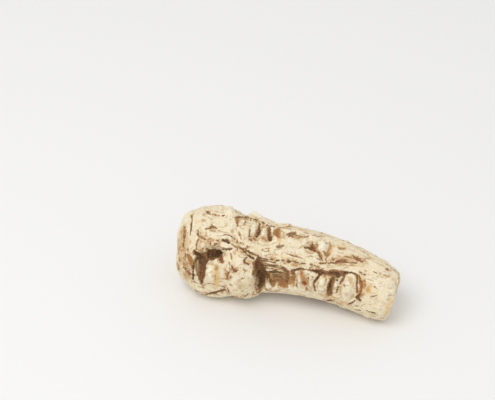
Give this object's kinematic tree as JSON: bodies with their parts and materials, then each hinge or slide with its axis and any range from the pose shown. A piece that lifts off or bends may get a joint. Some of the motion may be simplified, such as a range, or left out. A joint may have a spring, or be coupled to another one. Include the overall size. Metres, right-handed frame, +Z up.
{
  "type": "dong quai root",
  "caption": "Dried dong quai root: a stubby, knobbly taproot with a swollen crown and a cut tail, lying on its side.",
  "frame": {"origin": "middle of the root's box, on the surface that the root rests on", "axes": "+X along the root's length, from the swollen crown to the cut tail; +Z up; -Y is the side with the knob, the lobe and the ribbed trough"},
  "size_m": [0.0814, 0.0314, 0.031],
  "materials": {
    "dried_root": "dry, wrinkled root skin: matt, cream-white on the raised parts and brown in the folds"
  },
  "bodies": {
    "root": {"dong_quai_root": "dried_root"}
  },
  "joints": []
}
